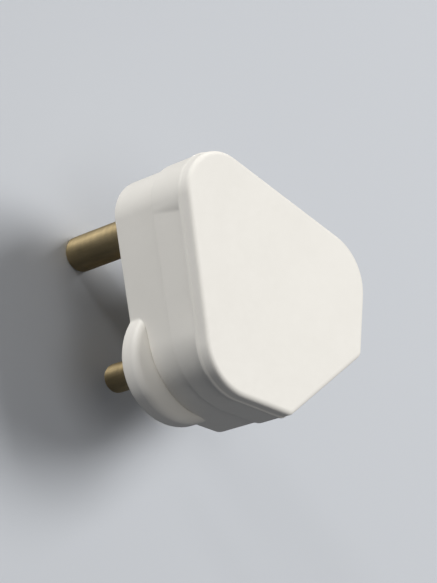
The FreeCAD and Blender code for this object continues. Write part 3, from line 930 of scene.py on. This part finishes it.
@dataclass(frozen=True)
class SlottedScrew:
    """Cheese-head screw with a rolled thread, in millimetres; its head is at the seat's end."""

    node: str
    slot: Slot
    x: float
    y: float
    tip: float
    seat: float
    diameter: float
    head_diameter: float
    head_height: float
    pitch: float
    thread_depth: float
    plain: float = 0.4
    slot_width: float = 0.9
    slot_depth: float = 0.9
    head_edge: float = 0.3
    head_chamfer: float = 0.1
    crown_share: float = 0.6
    around: int = 48
    rows_per_turn: int = 10

    def build(self, material: bpy.types.Material) -> bpy.types.Object:
        """Make the screw.

        The thread is a radius over angle and height: the outer radius less thread_depth times the
        distance of (height / pitch - angle / 2 pi) from its nearest whole number, doubled. It runs out
        at the tip, and over the plain stretch under the head.

        Args:
            material: The screw's metal.

        Returns:
            The piece.
        """
        up = 1.0 if self.seat > self.tip else -1.0
        length = abs(self.seat - self.tip)
        angle = np.linspace(0, 2 * np.pi, self.around, endpoint=False)[None, :]
        rows = int(length / self.pitch * self.rows_per_turn)
        travel = np.linspace(0, length, rows)[:, None]
        phase = travel / self.pitch - angle / (2 * np.pi)
        groove = 2 * np.abs(phase - np.round(phase)) * self.thread_depth
        run_out = np.clip((length - self.plain - travel) / self.pitch, 0, 1)
        point = np.clip(1 - travel / self.pitch, 0, 1) * self.thread_depth
        shank = self.diameter / 2 - np.maximum(groove * run_out, point)
        head = self.head_diameter / 2
        edge = quarter(self.head_edge, 5)
        sides = [(head - self.head_chamfer, length), (head, length + self.head_chamfer)]
        sides += [(head - back, length + self.head_height - self.head_edge + rise) for back, rise in edge]
        sides.append((head * self.crown_share, length + self.head_height))
        radius = np.concatenate([shank, np.repeat([[r] for r, _ in sides], self.around, axis=1)])
        height = np.concatenate([travel, [[z] for _, z in sides]]) + 0 * angle
        across, deep = self.x + radius * np.cos(angle), self.y + radius * np.sin(angle)
        rings = np.stack([across, deep, self.tip + up * height], axis=-1)
        piece = place(self.node + "_threaded", closed_shell(self.node, rings))
        crown = self.seat + up * self.head_height
        low, high = sorted((crown - up * self.slot_depth, crown + up * OVERCUT))
        half, reach = self.slot_width / 2, self.head_diameter
        cut = rectangle(self.x - reach, self.x + reach, self.y - half, self.y + half)
        carve(piece, [(Carve.TAKE, prism(cut, low, high))])
        finish_piece(piece, material, self.node)
        return piece


def terminal_screw(pin: PinPlace, house: Housing) -> SlottedScrew:
    """Screw in a pin's head, which stands on the parting plane and clamps the conductor."""
    return SlottedScrew(
        node=pin.name + "_terminal_screw",
        slot=Slot.BRASS,
        x=pin.x,
        y=pin.y,
        tip=10.1,
        seat=house.parting,
        diameter=3.9,
        head_diameter=6.0,
        head_height=2.0,
        pitch=0.7,
        thread_depth=0.4,
    )


def cover_screw(house: Housing) -> SlottedScrew:
    """Captive screw whose head sits in the engagement face and whose tip points up into the cover."""
    return SlottedScrew(
        node="cover_screw",
        slot=Slot.STEEL,
        x=0.0,
        y=house.screw_y,
        tip=20.7,
        seat=4.0,
        diameter=3.9,
        head_diameter=6.8,
        head_height=2.6,
        pitch=0.7,
        thread_depth=0.4,
    )


def grip_screw(side: str, x: float, house: Housing) -> SlottedScrew:
    """One of the two screws that pull the cord grip's bar down."""
    return SlottedScrew(
        node="cord_grip_screw_" + side,
        slot=Slot.STEEL,
        x=x,
        y=house.grip_y,
        tip=8.56,
        seat=20.36,
        diameter=2.9,
        head_diameter=5.2,
        head_height=1.9,
        pitch=1.0,
        thread_depth=0.4,
        plain=2.9,
    )


@dataclass(frozen=True)
class Viewpoint:
    """Where the picture is taken from, in millimetres, with the lens for a 36 mm long side."""

    eye: Triple = (-467.29, 135.46, 573.12)
    aim: Triple = (5.453, 7.214, 2.931)
    upward: Triple = (0.48542, 0.84827, 0.21167)
    lens: float = 197.6
    sensor: float = 36.0

    def build(self) -> bpy.types.Object:
        """Make the camera and use it for the scene."""
        eye = Vector(self.eye) * MM
        forward = (Vector(self.aim) * MM - eye).normalized()
        right = forward.cross(Vector(self.upward)).normalized()
        turn = Matrix((right, right.cross(forward), -forward)).transposed()
        data = bpy.data.cameras.new("camera")
        data.lens = self.lens
        data.sensor_width = self.sensor
        camera = bpy.data.objects.new("camera", data)
        camera.matrix_world = Matrix.Translation(eye) @ turn.to_4x4()
        bpy.context.scene.collection.objects.link(camera)
        bpy.context.scene.camera = camera
        return camera


@dataclass(frozen=True)
class Lamp:
    """A square soft box that looks at the plug."""

    name: str
    toward: Triple
    distance: float
    side: float
    watts: float
    colour: Colour = (1.0, 1.0, 1.0)

    def build(self) -> bpy.types.Object:
        """Hang the lamp."""
        data = bpy.data.lights.new(self.name, "AREA")
        data.shape = "SQUARE"
        data.size = self.side
        data.energy = self.watts
        data.color = self.colour
        lamp = bpy.data.objects.new(self.name, data)
        way = Vector(self.toward).normalized()
        lamp.location = way * self.distance
        lamp.rotation_mode = "QUATERNION"
        lamp.rotation_quaternion = way.to_track_quat("Z", "Y")
        bpy.context.scene.collection.objects.link(lamp)
        return lamp


@dataclass(frozen=True)
class Studio:
    """Plain pale floor, soft lamps and an even sky."""

    floor_height: float
    floor_colour: Colour = (0.62, 0.64, 0.67)
    floor_bounce: Colour = (0.16, 0.17, 0.19)
    floor_side: float = 8.0
    sky_colour: Colour = (0.94, 0.96, 1.0)
    sky_level: float = 0.11
    lamps: tuple[Lamp, ...] = (
        Lamp("window", toward=(-0.09, 0.99, 0.01), distance=1.2, side=0.2, watts=15.6),
        Lamp("overhead", toward=(0.45, -0.13, 0.88), distance=1.2, side=0.5, watts=11.2),
        Lamp("fill", toward=(-0.25, 0.0, 0.97), distance=1.2, side=0.5, watts=2.0),
    )

    def build_floor(self) -> bpy.types.Object:
        """Lay the floor: one square sheet that shows pale and throws back little light."""
        half = self.floor_side / 2
        corners = [(-half, -half), (half, -half), (half, half), (-half, half)]
        mesh = bpy.data.meshes.new("floor")
        mesh.from_pydata([(x, y, self.floor_height) for x, y in corners], [], [(0, 1, 2, 3)])
        graph = NodeGraph("floor_sheet")
        path = graph.add("LightPath")
        seen = graph.add("Math", operation="MAXIMUM")
        bounce = graph.add("BsdfDiffuse", {"Color": (*self.floor_bounce, 1.0)})
        pale = graph.add("BsdfDiffuse", {"Color": (*self.floor_colour, 1.0)})
        mix = graph.add("MixShader")
        graph.join(path.outputs["Is Camera Ray"], seen.inputs[0])
        graph.join(path.outputs["Is Transmission Ray"], seen.inputs[1])
        graph.join(seen.outputs[0], mix.inputs[0])
        graph.join(bounce.outputs[0], mix.inputs[1])
        graph.join(pale.outputs[0], mix.inputs[2])
        graph.join(mix.outputs[0], graph.output.inputs["Surface"])
        mesh.materials.append(graph.material)
        floor = bpy.data.objects.new("floor", mesh)
        bpy.context.scene.collection.objects.link(floor)
        floor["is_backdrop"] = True
        return floor

    def build_sky(self) -> bpy.types.World:
        """Fill the surroundings with an even pale light."""
        world = bpy.data.worlds.new("sky")
        world.use_nodes = True
        background = world.node_tree.nodes["Background"]
        background.inputs["Color"].default_value = (*self.sky_colour, 1.0)
        background.inputs["Strength"].default_value = self.sky_level
        bpy.context.scene.world = world
        return world

    def build(self) -> None:
        """Set the whole studio up."""
        self.build_floor()
        self.build_sky()
        for lamp in self.lamps:
            lamp.build()
        bpy.context.scene.view_settings.view_transform = "Standard"


def corners(box: tuple[Vector, Vector]) -> list[list[float]]:
    """A box's two corners as plain lists of numbers."""
    return [list(corner) for corner in box]


def main() -> None:
    """Build the plug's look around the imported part."""
    logging.basicConfig(level=logging.INFO, format="%(name)s: %(message)s")
    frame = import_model()
    cad_box = corners(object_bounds())
    nodes = frame["nodes"]

    finishes = {
        Slot.MOULDING: MouldedPlastic("white_moulding", (0.885, 0.855, 0.79), (0.865, 0.835, 0.77), 0.5, 0.6),
        Slot.BRASS: TurnedMetal("dull_brass", (0.68, 0.54, 0.31), (0.53, 0.42, 0.23), 0.46, 0.54),
        Slot.STEEL: TurnedMetal("plated_steel", (0.66, 0.66, 0.65), (0.52, 0.52, 0.51), 0.24, 0.36),
        Slot.FIBRE: PressedFibre("pressed_fibre", (0.2, 0.1, 0.05), (0.36, 0.22, 0.13)),
    }
    materials = {slot: finish.build() for slot, finish in finishes.items()}
    slots = {part["node"]: part["material_slot"] for part in frame["record"]["subparts"]}
    for name, node in nodes.items():
        node.material_slots[0].material = materials[Slot(slots[name])]
        LOG.info("%s dressed as %s", name, slots[name])

    housing = Housing()
    MouldedCover(housing).build(materials[Slot.MOULDING])
    MouldedBase(housing).build(materials[Slot.MOULDING])
    for pin in housing.pins:
        PinFittings(housing).build(pin, materials[Slot.BRASS])
        terminal_screw(pin, housing).build(materials[Slot.BRASS])
    cover_screw(housing).build(materials[Slot.STEEL])
    for side, x in (("left", -housing.grip_x), ("right", housing.grip_x)):
        grip_screw(side, x, housing).build(materials[Slot.STEEL])

    Viewpoint().build()
    Studio(floor_height=cad_box[0][2]).build()


if __name__ == "__main__":
    main()
